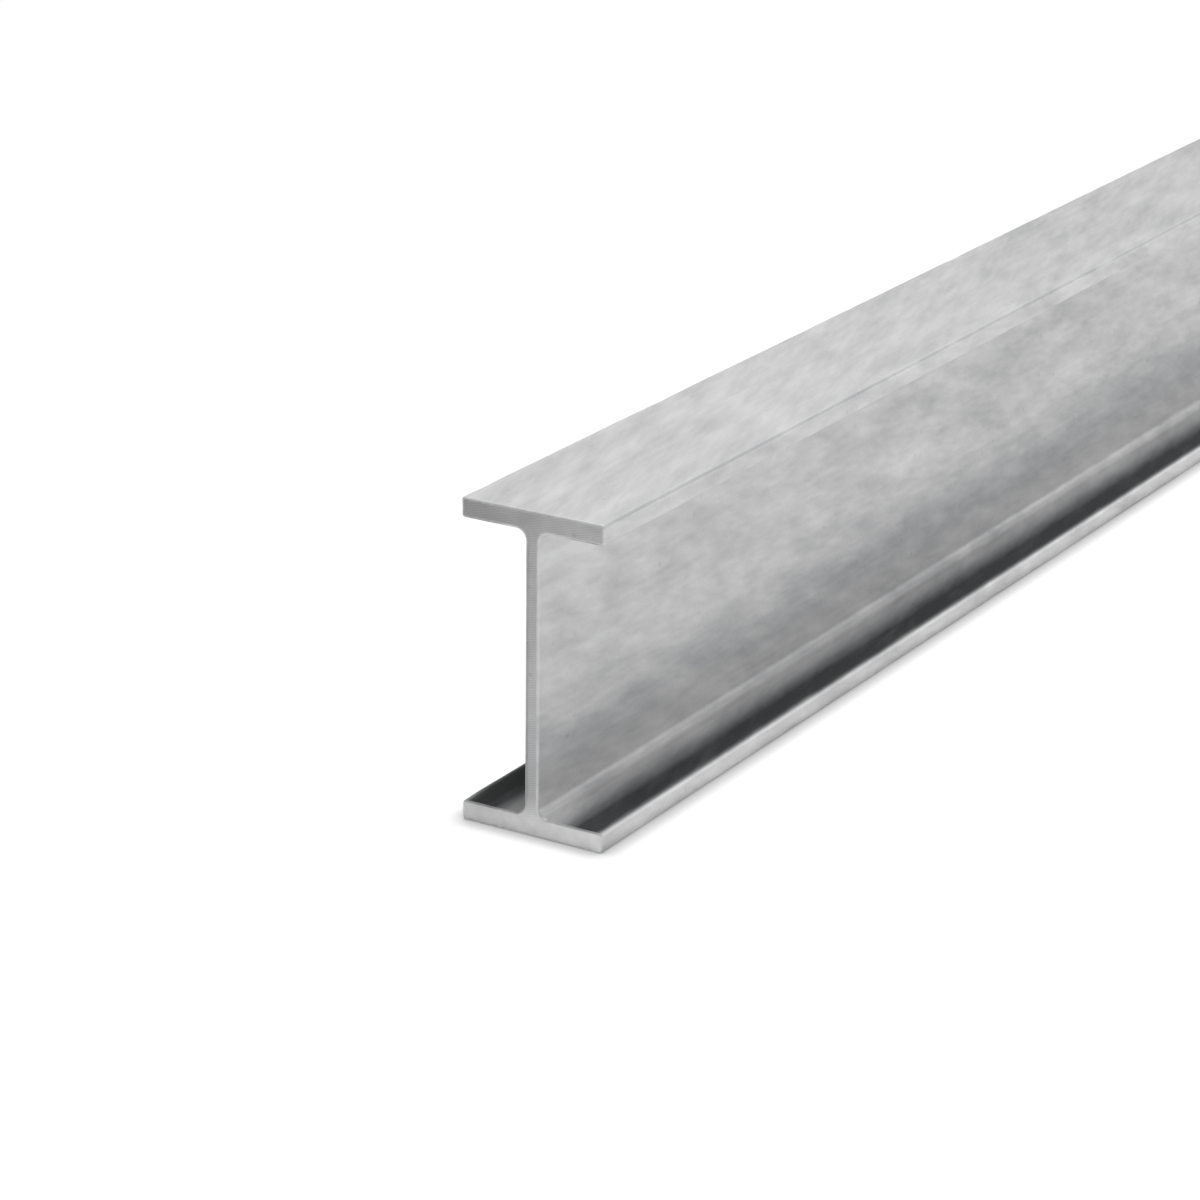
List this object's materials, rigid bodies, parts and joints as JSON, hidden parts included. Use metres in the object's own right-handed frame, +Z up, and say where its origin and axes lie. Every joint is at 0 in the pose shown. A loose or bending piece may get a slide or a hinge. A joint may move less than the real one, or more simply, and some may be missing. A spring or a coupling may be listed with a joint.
{
  "type": "steel i-beam",
  "caption": "Hot-rolled steel I-beam with parallel flanges, rounded web roots and square sawn ends, standing on its lower flange.",
  "frame": {"origin": "middle of the lower flange's bearing face, half way along the beam and directly below the web", "axes": "+X along the beam, +Y across the flanges, +Z up through the web; the two sides of the section and the two ends are alike"},
  "size_m": [1, 0.06, 0.125],
  "materials": {
    "rolled_steel": "bare, dull shine, softly mottled along the rolling direction, with plain sawn ends"
  },
  "bodies": {
    "root": {"i_beam": "rolled_steel"}
  },
  "joints": []
}
